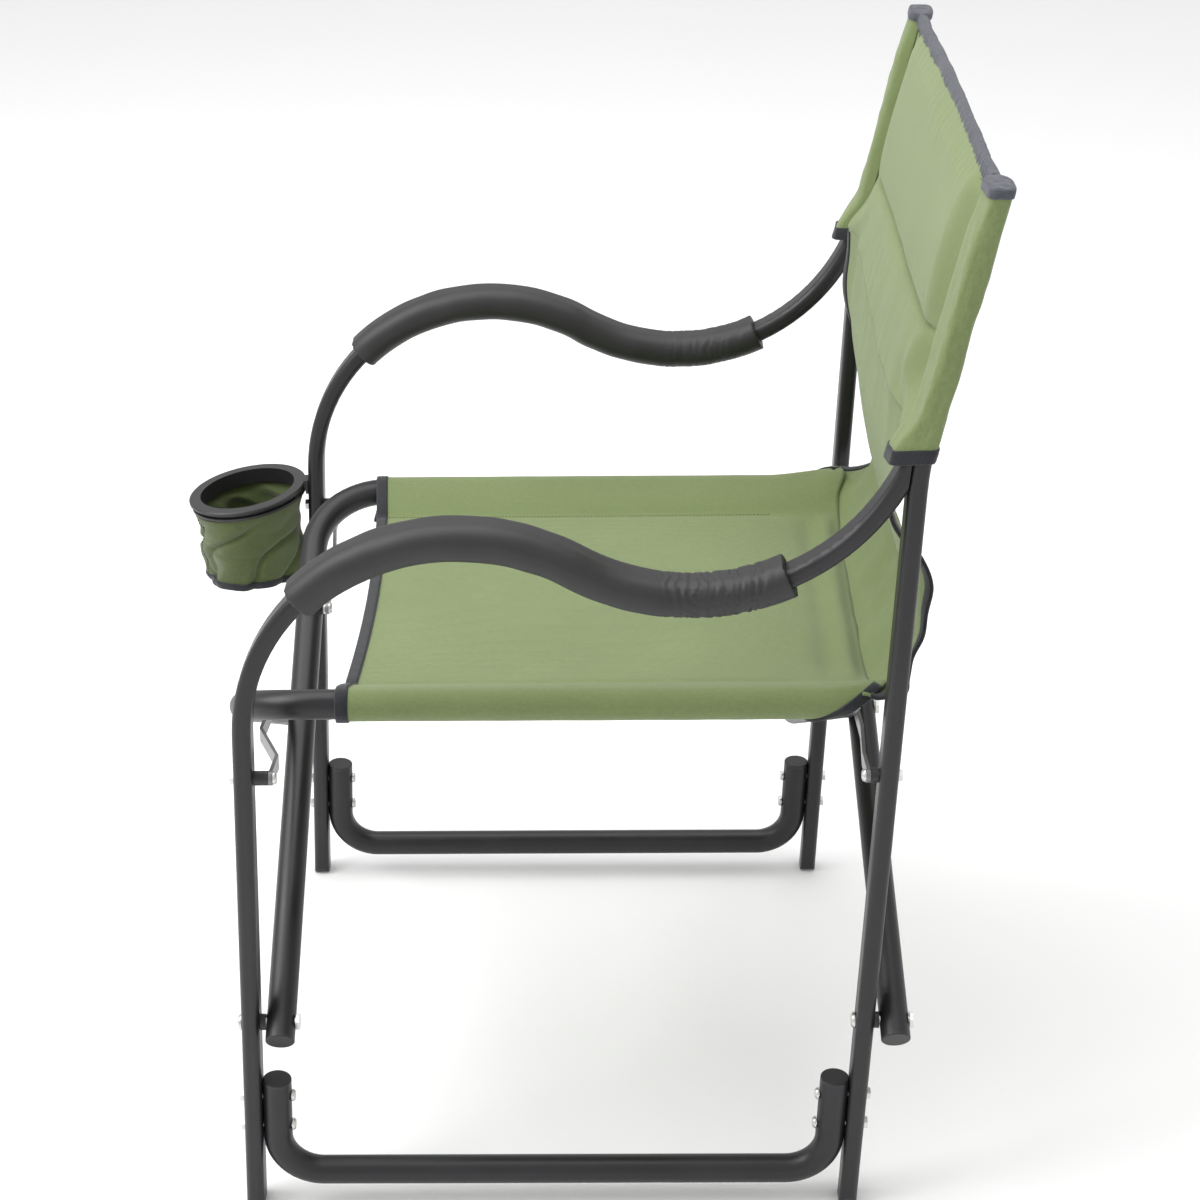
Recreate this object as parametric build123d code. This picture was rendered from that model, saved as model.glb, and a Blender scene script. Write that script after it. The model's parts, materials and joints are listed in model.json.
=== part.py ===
"""Folding camp armchair: two tube side frames joined by a pair of scissor frames.

Units are millimetres.  +X is the sitter's left, -Y the front, +Z up.  The chair is
drawn about its own middle plane, and at the end every piece is moved so that the origin
is the centre of the footprint box, on the ground.
"""
import os
from math import cos, hypot, radians, sin, tan

from build123d import *

# ---- driving dimensions -------------------------------------------------------------
HALF_WIDTH = 270.0          # middle plane to the plane of each side frame
OVAL_W = 25.0               # side-frame tube, across the chair
OVAL_T = 15.5               # side-frame tube, fore and aft
OVAL_CORNER = 5.5
OVAL_WALL = 1.5
TUBE_R = 12.5               # scissor and ground-rail tube
TUBE_WALL = 1.3
SCISSOR_WALL = 1.5

FOOT_FRONT_Y = -262.0
FOOT_REAR_Y = 259.5
FRONT_LEAN = radians(2.66)  # front leg leans back as it rises
REAR_LEAN = radians(2.565)
FOOT_H = 16.0               # solid, rounded end of each leg
FOOT_CORNER_R = 9.0

LEG_TOP_Z = 474.0           # front leg becomes the arm curve here
ARM_R = 177.5               # both arcs of the arm
ARM_SWITCH = radians(59.2)  # direction from the crest centre to the trough centre
ARM_END = radians(-17.0)    # where the arm meets the back post
FOAM_START = radians(134.4)
FOAM_END = radians(-64.6)
FOAM_W = 41.0
FOAM_T = 31.0
FOAM_CORNER = 14.5

POST_CUT_FROM_Z = 600.0     # the arm's end is cut to the post from here up
POST_BEND_Z = 710.0
POST_TOP_Y = 338.5
POST_TOP_Z = 915.0
POST_BEND_R = 300.0

GROUND_RAIL_Z = 32.0        # rail centre line
GROUND_RAIL_TOP = 128.0
GROUND_BEND_R = 38.0
RAIL_BOLT_Z = (82.0, 113.0)

PIVOT_Z = 190.0             # low pivots, on the legs
RAIL_X = 215.0              # seat rail centre from the middle plane
SCISSOR_BEND_R = 67.0
SCISSOR_ANGLE = radians(29.8)
SCISSOR_TAIL = 14.0         # tube past its low pivot
PIVOT_GAP = 5.0             # spacer between leg and scissor tube
# fore and aft places of the scissor tubes at the rail end
A_FRONT_TOP_Y = -233.0
A_REAR_TOP_Y = 274.0
B_FRONT_TOP_Y = -253.0
B_REAR_TOP_Y = 254.0

LINK_W = 12.0
LINK_T = 3.0
LINK_PIVOT_Z = 430.2        # link pivot on the leg
LINK_ALONG = 112.0          # centre pivot to link pivot, along the scissor tube
LINK_STUD_GAP = 0.7
LINK_FRONT_STANDOFF = 12.5
LINK_REAR_STANDOFF = 7.0
LINK_WASHER_T = 2.0
STUD_R = 5.5                # washer and head of the stud at a link's tube end
JOG_FROM = 0.22             # start and end of the jog, as shares of the link's length
JOG_TO = 0.60

PIN_R = 4.0
SMALL_PIN_R = 3.0
FIT = 0.06                  # running clearance on a pin
FACE_GAP = 0.4              # between a leaning face and a head, nut or washer on it
HEAD_H = 3.2
HEAD_RATIO = 1.75           # bolt head radius over shank radius
NUT_RATIO = 3.2             # nut width across flats over shank radius
BORE_REACH = 20.0           # a bolt hole is cut this far either side of a tube's middle
CAP_H = 2.6
PLUG_STEM = 8.0
POST_CAP_STEM = 14.0
SPACER_R = 7.0
CENTRE_SPACER_R = 8.0
LINK_SPACER_R = 6.0

SEAT_FRONT_Y = -166.0
SEAT_REAR_Y = 186.0         # rear end of the sleeves
SHEET_REAR_Y = 256.0        # rear end of the sheet between them
SLEEVE_GAP = 0.35
CLOTH = 2.0
SEAT_EDGE_Z = 9.0           # sheet above the rail centre line, at the rail
SEAT_EDGE_IN = 9.5          # sheet edge inside the rail centre line
SEAT_DIP = 7.0              # how far the middle hangs below the edges
CREASE_GAP = 0.3            # between the two halves of the seat or the back

BACK_LOW_Z = 726.0
BACK_HIGH_Z = 918.0
BACK_SLEEVE_GAP = 0.6
PAD_T = 9.0
PAD_HALF_W = 205.0
PAD_GAP = 0.05
PAD_SHORT = 12.0            # pad ends below the back's top edge
TAIL_LOW_Z = 484.0
TAIL_LOW_Y = 303.0          # tail's foot hangs behind the plane of the rear legs
TAIL_HALF_TOP = 235.0
TAIL_HALF_LOW = 205.0

CUP_R = 59.0
CUP_BORE_R = 47.5
CUP_Z = 446.0
CUP_TILT = 8.0
CUP_DEPTH = 92.0
CUP_COLLAR = 1.6            # wall of the collar that the bag hangs round
CUP_COLLAR_DROP = 13.0
BAG_TOP = 9.0               # bag rim below the ring's middle
BAG_FLARE = 5.4             # rim wider than the bore
CLIP_Z = 452.0              # block between the cup ring and the leg
CLIP_W = 16.0
CLIP_T = 8.0
CLIP_H = 14.0

# ---- worked-out places --------------------------------------------------------------
CENTRE_Z = PIVOT_Z + HALF_WIDTH * tan(SCISSOR_ANGLE)
RAIL_Z = CENTRE_Z + RAIL_X * tan(SCISSOR_ANGLE)
LINK_X = LINK_ALONG * cos(SCISSOR_ANGLE)
LINK_Z = CENTRE_Z + LINK_ALONG * sin(SCISSOR_ANGLE)


def front_leg_y(z):
    return FOOT_FRONT_Y + z * tan(FRONT_LEAN)


def rear_leg_y(z):
    return FOOT_REAR_Y + z * tan(REAR_LEAN)


A_FRONT_LOW_Y = front_leg_y(PIVOT_Z) + OVAL_T / 2 + PIVOT_GAP + TUBE_R
A_REAR_LOW_Y = rear_leg_y(PIVOT_Z) + OVAL_T / 2 + PIVOT_GAP + TUBE_R
B_FRONT_LOW_Y = front_leg_y(PIVOT_Z) - OVAL_T / 2 - PIVOT_GAP - TUBE_R
B_REAR_LOW_Y = rear_leg_y(PIVOT_Z) - OVAL_T / 2 - PIVOT_GAP - TUBE_R

parts = {}


# ---- small helpers ------------------------------------------------------------------
def rod_y(x, z, y0, y1, radius):
    """A round bar along Y from y0 to y1."""
    plane = Plane(origin=(x, y0, z), z_dir=(0, 1, 0))
    return extrude(plane * Circle(radius), amount=y1 - y0)


def ring_y(x, z, y0, y1, outer, inner):
    return rod_y(x, z, y0, y1, outer) - rod_y(x, z, y0 - 1, y1 + 1, inner)


def dome_y(x, z, y, side, radius):
    """A low domed bolt head on the face at y, standing out towards side."""
    head = rod_y(x, z, min(y, y + side * HEAD_H), max(y, y + side * HEAD_H), radius)
    outer = head.faces().sort_by(Axis.Y)[-1 if side > 0 else 0]
    return fillet(outer.edges(), HEAD_H * 0.8)


def hex_y(x, z, y, side, across):
    """A hexagon nut on the face at y, standing out towards side."""
    plane = Plane(origin=(x, y, z), z_dir=(0, side, 0))
    return extrude(plane * RegularPolygon(across / 2, 6, major_radius=False), amount=HEAD_H)


def bolt_y(x, z, y0, y1, radius, nut_at=1):
    """A bolt along Y: a domed head at one end of y0..y1 and a nut at the other."""
    y0 -= FACE_GAP
    y1 += FACE_GAP
    shank = rod_y(x, z, y0, y1, radius)
    head_y, nut_y = (y0, y1) if nut_at > 0 else (y1, y0)
    head = dome_y(x, z, head_y, -nut_at, radius * HEAD_RATIO)
    nut = hex_y(x, z, nut_y, nut_at, radius * NUT_RATIO)
    return shank + head + nut


def swept_ring(path, outer, inner):
    plane = Plane(origin=path @ 0, z_dir=path % 0)
    return sweep(plane * (Circle(outer) - Circle(inner)), path=path)


def oval(width, thick, corner):
    return RectangleRounded(width, thick, corner)


def swept_oval(path, width, thick, corner, wall=None):
    """A rounded-rectangle section swept along a path that lies in a plane X = constant."""
    plane = Plane(origin=path @ 0, x_dir=(1, 0, 0), z_dir=path % 0)
    section = plane * oval(width, thick, corner)
    if wall:
        inside = max(corner - wall, 1.0)
        section -= plane * oval(width - 2 * wall, thick - 2 * wall, inside)
    return sweep(section, path=path)


def plug(origin, direction, outer, inner):
    """A tube end plug: a domed disc outside the tube and a stem inside it."""
    plane = Plane(origin=origin, z_dir=direction)
    disc = extrude(plane * Circle(outer), amount=CAP_H)
    top = max(disc.faces(), key=lambda f: (f.center() - plane.origin).dot(plane.z_dir))
    disc = fillet(top.edges(), 1.2)
    return disc + extrude(plane * Circle(inner), amount=-PLUG_STEM)


# ---- side frames --------------------------------------------------------------------
def arm_curve(x):
    """The arm's two arcs in the plane X = x, each as a function from angle to point."""
    leg_top = (front_leg_y(LEG_TOP_Z), LEG_TOP_Z)
    crest = (
        leg_top[0] + ARM_R * cos(FRONT_LEAN),
        leg_top[1] - ARM_R * sin(FRONT_LEAN),
    )
    trough = (
        crest[0] + 2 * ARM_R * cos(ARM_SWITCH),
        crest[1] + 2 * ARM_R * sin(ARM_SWITCH),
    )

    def on_crest(angle):
        return Vector(x, crest[0] + ARM_R * cos(angle), crest[1] + ARM_R * sin(angle))

    def on_trough(angle):
        return Vector(x, trough[0] + ARM_R * cos(angle), trough[1] + ARM_R * sin(angle))

    return on_crest, on_trough


def arm_arcs(x, start, end):
    """The two arcs of the arm, from an angle on the crest to an angle on the trough."""
    on_crest, on_trough = arm_curve(x)
    back = ARM_SWITCH - radians(180)
    first = ThreePointArc(on_crest(start), on_crest((start + ARM_SWITCH) / 2), on_crest(ARM_SWITCH))
    second = ThreePointArc(on_trough(back), on_trough((back + end) / 2), on_trough(end))
    return [first, second]


def foot(x, y_at, width, thick):
    """The closed, rounded end of a leg: its section, cut to a rounded plate."""
    path = Line((x, y_at(-3.0), -3.0), (x, y_at(FOOT_H), FOOT_H))
    stub = swept_oval(path, width, thick, OVAL_CORNER)
    plate_plane = Plane(origin=(x, 0, FOOT_H), x_dir=(1, 0, 0), z_dir=(0, 1, 0))
    plate = extrude(
        plate_plane * RectangleRounded(width, 2 * FOOT_H, FOOT_CORNER_R),
        amount=400,
        both=True,
    )
    return stub & plate


def post_path(x, z_from=0.0):
    """Centre line of the rear leg and back post from a height up to its top."""
    bend_y = rear_leg_y(POST_BEND_Z)
    return FilletPolyline(
        (x, rear_leg_y(z_from), z_from),
        (x, bend_y, POST_BEND_Z),
        (x, POST_TOP_Y, POST_TOP_Z),
        radius=POST_BEND_R,
    )


POST_SLOPE = (POST_TOP_Y - rear_leg_y(POST_BEND_Z)) / (POST_TOP_Z - POST_BEND_Z)


def upper_post_y(z):
    return POST_TOP_Y - (POST_TOP_Z - z) * POST_SLOPE


def bore_y(x, z, y, pin):
    """The cutter for a pin hole through a tube whose middle is at y."""
    return rod_y(x, z, y - BORE_REACH, y + BORE_REACH, pin + FIT)


def side_holes(x):
    """Every bolt hole through the legs of one side frame."""
    holes = []
    for leg_y in (front_leg_y, rear_leg_y):
        for z in RAIL_BOLT_Z:
            holes.append(bore_y(x, z, leg_y(z), SMALL_PIN_R))
        holes.append(bore_y(x, PIVOT_Z, leg_y(PIVOT_Z), PIN_R))
        holes.append(bore_y(x, LINK_PIVOT_Z, leg_y(LINK_PIVOT_Z), SMALL_PIN_R))
    return holes


def front_leg_and_arm(x):
    on_crest, _ = arm_curve(x)
    leg = Line((x, front_leg_y(FOOT_H), FOOT_H), (x, front_leg_y(LEG_TOP_Z), LEG_TOP_Z))
    arcs = arm_arcs(x, radians(180) - FRONT_LEAN, ARM_END)
    tube = swept_oval(Wire([leg] + arcs), OVAL_W, OVAL_T, OVAL_CORNER, OVAL_WALL)
    tube += foot(x, front_leg_y, OVAL_W, OVAL_T)
    tube -= swept_oval(post_path(x, POST_CUT_FROM_Z), OVAL_W + 6, OVAL_T, 0.5)
    tube = tube.solids().sort_by(SortBy.VOLUME)[-1]
    return Part() + tube - side_holes(x)


def rear_leg_and_post(x):
    path = post_path(x, FOOT_H)
    tube = swept_oval(path, OVAL_W, OVAL_T, OVAL_CORNER, OVAL_WALL)
    return tube + foot(x, rear_leg_y, OVAL_W, OVAL_T) - side_holes(x)


def upturn_y(leg_y, side, z):
    """Centre of a ground-rail upturn, which lies against the inner face of its leg."""
    return leg_y(z) + side * (OVAL_T / 2 + TUBE_R + 0.06)


def ground_rail(x):
    path = FilletPolyline(
        (x, upturn_y(front_leg_y, 1, GROUND_RAIL_TOP), GROUND_RAIL_TOP),
        (x, upturn_y(front_leg_y, 1, GROUND_RAIL_Z), GROUND_RAIL_Z),
        (x, upturn_y(rear_leg_y, -1, GROUND_RAIL_Z), GROUND_RAIL_Z),
        (x, upturn_y(rear_leg_y, -1, GROUND_RAIL_TOP), GROUND_RAIL_TOP),
        radius=GROUND_BEND_R,
    )
    tube = swept_ring(path, TUBE_R, TUBE_R - TUBE_WALL)
    for leg_y, side in ((front_leg_y, 1), (rear_leg_y, -1)):
        for z in RAIL_BOLT_Z:
            tube -= bore_y(x, z, upturn_y(leg_y, side, z), SMALL_PIN_R)
    return tube


def ground_rail_caps(x):
    caps = []
    for leg_y, side, lean in ((front_leg_y, 1, FRONT_LEAN), (rear_leg_y, -1, REAR_LEAN)):
        top = (x, upturn_y(leg_y, side, GROUND_RAIL_TOP), GROUND_RAIL_TOP)
        caps.append(plug(top, (0, sin(lean), cos(lean)), TUBE_R, TUBE_R - TUBE_WALL))
    return Compound(children=caps)


def ground_rail_bolts(x):
    """Four bolts from the upturn's free side through to the leg's outer face."""
    bolts = []
    for leg_y, side in ((front_leg_y, 1), (rear_leg_y, -1)):
        for z in RAIL_BOLT_Z:
            outer = leg_y(z) - side * OVAL_T / 2
            inner = upturn_y(leg_y, side, z) + side * TUBE_R
            low, high = sorted((outer, inner))
            bolts.append(bolt_y(x, z, low, high, SMALL_PIN_R, nut_at=-side))
    return Compound(children=bolts)


def arm_foam(x):
    arcs = Wire(arm_arcs(x, FOAM_START, FOAM_END))
    outer = swept_oval(arcs, FOAM_W, FOAM_T, FOAM_CORNER)
    return outer - swept_oval(arcs, OVAL_W + 0.1, OVAL_T + 0.1, OVAL_CORNER)


def post_cap(x):
    direction = Vector(0, POST_SLOPE, 1).normalized()
    plane = Plane(origin=(x, POST_TOP_Y, POST_TOP_Z), x_dir=(1, 0, 0), z_dir=direction)
    disc = extrude(plane * oval(OVAL_W, OVAL_T, OVAL_CORNER), amount=CAP_H)
    inner = oval(OVAL_W - 2 * OVAL_WALL, OVAL_T - 2 * OVAL_WALL, OVAL_CORNER - OVAL_WALL)
    return disc + extrude(plane * inner, amount=-POST_CAP_STEM)


# ---- scissor frames -----------------------------------------------------------------
def scissor_corners(side, front_low, front_top, rear_top, rear_low):
    """Four corners of a scissor frame whose low ends are on the side given by side."""
    run = HALF_WIDTH + RAIL_X

    def low(y_low, y_top):
        share = -SCISSOR_TAIL / run
        x = side * (HALF_WIDTH + SCISSOR_TAIL)
        z = PIVOT_Z - SCISSOR_TAIL * tan(SCISSOR_ANGLE)
        return (x, y_low + (y_top - y_low) * share, z)

    top_x = -side * RAIL_X
    return (
        low(front_low, front_top),
        (top_x, front_top, RAIL_Z),
        (top_x, rear_top, RAIL_Z),
        low(rear_low, rear_top),
    )


SCISSOR_A = scissor_corners(1, A_FRONT_LOW_Y, A_FRONT_TOP_Y, A_REAR_TOP_Y, A_REAR_LOW_Y)
SCISSOR_B = scissor_corners(-1, B_FRONT_LOW_Y, B_FRONT_TOP_Y, B_REAR_TOP_Y, B_REAR_LOW_Y)


def tube_y(corners, x, rear):
    """Fore and aft place of a scissor tube where it crosses x."""
    low, top = (corners[3], corners[2]) if rear else (corners[0], corners[1])
    share = (x - low[0]) / (top[0] - low[0])
    return low[1] + (top[1] - low[1]) * share


def scissor_tube(corners, side):
    path = FilletPolyline(*corners, radius=SCISSOR_BEND_R)
    tube = swept_ring(path, TUBE_R, TUBE_R - SCISSOR_WALL)
    for rear in (False, True):
        tube -= bore_y(side * HALF_WIDTH, PIVOT_Z, tube_y(corners, side * HALF_WIDTH, rear), PIN_R)
        tube -= bore_y(0, CENTRE_Z, tube_y(corners, 0, rear), PIN_R)
    return tube


def scissor_caps(corners):
    caps = []
    for end, top in ((corners[0], corners[1]), (corners[3], corners[2])):
        outward = (Vector(*end) - Vector(*top)).normalized()
        caps.append(plug(end, outward, TUBE_R, TUBE_R - SCISSOR_WALL))
    return Compound(children=caps)


def low_pivots(side, corners):
    """Bolts and spacers that hold a scissor frame's low ends to the legs."""
    x = side * HALF_WIDTH
    behind = corners is SCISSOR_A
    bolts = []
    spacers = []
    for leg_y, rear in ((front_leg_y, False), (rear_leg_y, True)):
        leg = leg_y(PIVOT_Z)
        tube = tube_y(corners, x, rear)
        if behind:
            span = (leg - OVAL_T / 2, tube + TUBE_R)
            gap = (leg + OVAL_T / 2 + FACE_GAP, tube - TUBE_R - FACE_GAP)
            bolts.append(bolt_y(x, PIVOT_Z, *span, PIN_R, nut_at=1))
        else:
            span = (tube - TUBE_R, leg + OVAL_T / 2)
            gap = (tube + TUBE_R + FACE_GAP, leg - OVAL_T / 2 - FACE_GAP)
            bolts.append(bolt_y(x, PIVOT_Z, *span, PIN_R, nut_at=-1))
        spacers.append(ring_y(x, PIVOT_Z, *gap, SPACER_R, PIN_R + FIT))
    return Compound(children=bolts), Compound(children=spacers)


def centre_pivots():
    """Bolts and spacers where the two scissor frames cross."""
    bolts = []
    spacers = []
    for rear in (False, True):
        y_b = tube_y(SCISSOR_B, 0, rear)
        y_a = tube_y(SCISSOR_A, 0, rear)
        bolts.append(bolt_y(0, CENTRE_Z, y_b - TUBE_R, y_a + TUBE_R, PIN_R, nut_at=1))
        gap = (y_b + TUBE_R + 2 * FACE_GAP, y_a - TUBE_R - FACE_GAP)
        spacers.append(ring_y(0, CENTRE_Z, *gap, CENTRE_SPACER_R, PIN_R + FIT))
    return Compound(children=bolts), Compound(children=spacers)


# ---- links --------------------------------------------------------------------------
def link_geometry(side, rear):
    """Leg pivot, tube pivot and the two Y faces of a link, for the side and end given."""
    corners = SCISSOR_B if side > 0 else SCISSOR_A
    tube = tube_y(corners, side * LINK_X, rear)
    leg = (rear_leg_y if rear else front_leg_y)(LINK_PIVOT_Z)
    if rear:
        at_leg = leg - OVAL_T / 2 - LINK_REAR_STANDOFF
        if side > 0:
            tube_face = tube + TUBE_R
            at_tube = tube_face + LINK_STUD_GAP + 1.0 + LINK_T
        else:
            tube_face = tube - TUBE_R
            at_tube = at_leg
    else:
        at_leg = leg + OVAL_T / 2 + LINK_FRONT_STANDOFF
        tube_face = tube + TUBE_R
        at_tube = tube_face + LINK_WASHER_T + LINK_STUD_GAP
    return at_leg, at_tube, tube_face


def link_bar(side, rear):
    """A flat bar with rounded ends between its two pivots, jogged where they are out of line."""
    at_leg, at_tube, _ = link_geometry(side, rear)
    thick = -LINK_T if rear else LINK_T
    start = Vector(side * HALF_WIDTH, 0, LINK_PIVOT_Z)
    end = Vector(side * LINK_X, 0, LINK_Z)
    along = end - start
    length = along.length
    middle = (start + end) * 0.5
    outline_plane = Plane(origin=middle, x_dir=along, z_dir=(0, 1, 0))
    outline = extrude(
        outline_plane * SlotCenterToCenter(length, LINK_W),
        amount=400,
        both=True,
    )
    reach = LINK_W
    jog_from = length * JOG_FROM
    jog_to = length * JOG_TO
    profile = Polyline(
        (-reach, at_leg),
        (jog_from, at_leg),
        (jog_to, at_tube),
        (length + reach, at_tube),
        (length + reach, at_tube + thick),
        (jog_to, at_tube + thick),
        (jog_from, at_leg + thick),
        (-reach, at_leg + thick),
        close=True,
    )
    unit = along.normalized()
    profile_plane = Plane(origin=start, x_dir=unit, z_dir=unit.cross(Vector(0, 1, 0)))
    strip = extrude(profile_plane * make_face(profile), amount=LINK_W, both=True)
    bar = outline & strip
    for x, z in ((start.X, start.Z), (end.X, end.Z)):
        bar -= rod_y(x, z, -400, 400, SMALL_PIN_R + FIT)
    return bar


def link_stud(side, rear):
    """The rivet at the tube end of a link, with the washer between link and tube."""
    _, at_tube, tube_face = link_geometry(side, rear)
    x, z = side * LINK_X, LINK_Z
    if rear and side > 0:
        near, far = at_tube - LINK_T, at_tube
        toward = -1
    elif rear:
        near, far = at_tube, at_tube - LINK_T
        toward = 1
    else:
        near, far = at_tube, at_tube + LINK_T
        toward = -1
    stop = tube_face - toward * LINK_STUD_GAP
    shank = rod_y(x, z, min(stop, far), max(stop, far), SMALL_PIN_R)
    washer = rod_y(x, z, min(stop, near), max(stop, near), STUD_R)
    return shank + washer + dome_y(x, z, far, -toward, STUD_R)


def link_leg_pivots(side):
    """Bolts and plastic spacers that hold the two links of one side to the legs."""
    bolts = []
    spacers = []
    x, z = side * HALF_WIDTH, LINK_PIVOT_Z
    for rear in (False, True):
        at_leg, _, _ = link_geometry(side, rear)
        leg = (rear_leg_y if rear else front_leg_y)(z)
        if rear:
            bolts.append(bolt_y(x, z, at_leg - LINK_T, leg + OVAL_T / 2, SMALL_PIN_R))
            gap = (at_leg + FACE_GAP, leg - OVAL_T / 2 - FACE_GAP)
        else:
            span = (leg - OVAL_T / 2, at_leg + LINK_T)
            bolts.append(bolt_y(x, z, *span, SMALL_PIN_R, nut_at=-1))
            gap = (leg + OVAL_T / 2 + FACE_GAP, at_leg - FACE_GAP)
        spacers.append(ring_y(x, z, *gap, LINK_SPACER_R, SMALL_PIN_R + FIT))
    return Compound(children=bolts), Compound(children=spacers)


# ---- seat and back cloth ------------------------------------------------------------
def seat_half(side):
    """Half of the seat: a sleeve round the rail and a thin sheet to the middle line."""
    inner = TUBE_R + SLEEVE_GAP
    x = side * RAIL_X
    sleeve = ring_y(x, RAIL_Z, SEAT_FRONT_Y, SEAT_REAR_Y, inner + CLOTH, inner)
    top = RAIL_Z + SEAT_EDGE_Z
    edge = x - side * SEAT_EDGE_IN
    middle = side * CREASE_GAP / 2
    sheet = Polyline(
        (edge, top + CLOTH),
        (middle, top + CLOTH - SEAT_DIP),
        (middle, top - SEAT_DIP),
        (edge, top),
        close=True,
    )
    plane = Plane(origin=(0, SEAT_FRONT_Y, 0), x_dir=(1, 0, 0), z_dir=(0, -1, 0))
    sheet_solid = extrude(plane * make_face(sheet), amount=-(SHEET_REAR_Y - SEAT_FRONT_Y))
    return sleeve + sheet_solid


def back_plane(x=0.0):
    direction = Vector(0, POST_SLOPE, 1).normalized()
    origin = (x, upper_post_y(BACK_LOW_Z), BACK_LOW_Z)
    return Plane(origin=origin, x_dir=(1, 0, 0), z_dir=direction)


BACK_H = (BACK_HIGH_Z - BACK_LOW_Z) * hypot(1, POST_SLOPE)
BACK_SEAM_X = HALF_WIDTH - OVAL_W / 2 - BACK_SLEEVE_GAP - CLOTH


def back_sleeve(side):
    """Flat sleeve of the back round one post, which stays on the post when the back folds."""
    plane = back_plane(side * HALF_WIDTH)
    wide = OVAL_W + 2 * BACK_SLEEVE_GAP
    thick = OVAL_T + 2 * BACK_SLEEVE_GAP
    outer = oval(wide + 2 * CLOTH, thick + 2 * CLOTH, OVAL_CORNER + CLOTH)
    return extrude(plane * (outer - oval(wide, thick, OVAL_CORNER)), amount=BACK_H)


def back_half(side):
    """Half of the back: a sheet from the sleeve's seam to the middle line."""
    width = BACK_SEAM_X - 1.5 * CREASE_GAP
    plane = back_plane(side * (BACK_SEAM_X - CREASE_GAP - width / 2))
    return extrude(plane * Rectangle(width, CLOTH), amount=BACK_H)


def back_pad(side):
    """Half of the padding inside the back, in front of the sheet."""
    width = PAD_HALF_W - CREASE_GAP / 2
    plane = back_plane(side * (PAD_HALF_W - width / 2))
    section = Pos(0, -(PAD_T + CLOTH) / 2 - PAD_GAP) * Rectangle(width, PAD_T)
    return extrude(plane * section, amount=BACK_H - PAD_SHORT)


def back_tail(side):
    """Half of the tapering tail that runs down from the back behind the seat."""
    top_y = upper_post_y(BACK_LOW_Z)
    front = Plane(origin=(0, top_y, BACK_LOW_Z - CLOTH), x_dir=(1, 0, 0), z_dir=(0, 0, 1))
    low = Plane(origin=(0, TAIL_LOW_Y, TAIL_LOW_Z), x_dir=(1, 0, 0), z_dir=(0, 0, 1))
    faces = []
    for plane, reach in ((low, TAIL_HALF_LOW), (front, TAIL_HALF_TOP)):
        width = reach - CREASE_GAP / 2
        middle = side * (reach - width / 2)
        faces.append(plane * Pos(middle, 0) * Rectangle(width, 2 * CLOTH))
    return loft(faces)


# ---- cup holder ---------------------------------------------------------------------
def cup_plane():
    y = front_leg_y(CUP_Z) - OVAL_T / 2 - 2.5 - CUP_R
    return Plane(origin=(-HALF_WIDTH, y, CUP_Z)).rotated((CUP_TILT, 0, 0))


def turned(plane, outline):
    """A solid of revolution about the plane's z axis from (radius, height) points."""
    face = make_face(Polyline(*outline, close=True))
    side_plane = Plane(origin=plane.origin, x_dir=plane.x_dir, z_dir=-plane.y_dir)
    return revolve(side_plane * face, axis=Axis(plane.origin, plane.z_dir))


def cup_ring():
    bore = CUP_BORE_R
    outline = (
        (bore, 2.5),
        (CUP_R - 1.0, 2.5),
        (CUP_R, 1.5),
        (CUP_R, -1.0),
        (CUP_R - 4.5, -1.8),
        (CUP_R - 4.5, -4.6),
        (CUP_R - 1.5, -5.2),
        (CUP_R - 1.5, -7.6),
        (bore + CUP_COLLAR, -8.4),
        (bore + CUP_COLLAR, -CUP_COLLAR_DROP),
        (bore, -CUP_COLLAR_DROP),
    )
    return turned(cup_plane(), outline)


def cup_bag():
    """Cloth cup that hangs plumb from the tilted ring."""
    ring = cup_plane()
    rim = ring.offset(-BAG_TOP)
    top_r = CUP_BORE_R + BAG_FLARE
    low_r = CUP_BORE_R
    base = Plane(origin=(ring.origin.X, ring.origin.Y, CUP_Z - CUP_DEPTH))
    shell = loft([base * Circle(low_r), rim * Circle(top_r)])
    floor = base.offset(CLOTH)
    above = rim.offset(0.5)
    hollow = loft([floor * Circle(low_r - CLOTH), above * Circle(top_r - CLOTH)])
    return shell - hollow


def cup_clip():
    """Plastic block between the ring and the front of the leg."""
    face_y = front_leg_y(CLIP_Z) - OVAL_T / 2 - FACE_GAP
    block = Pos(-HALF_WIDTH, face_y - CLIP_T / 2, CLIP_Z) * Box(CLIP_W, CLIP_T, CLIP_H)
    reach = CUP_R + 0.1
    return block - turned(cup_plane(), ((0, -30), (reach, -30), (reach, 30), (0, 30)))


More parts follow.
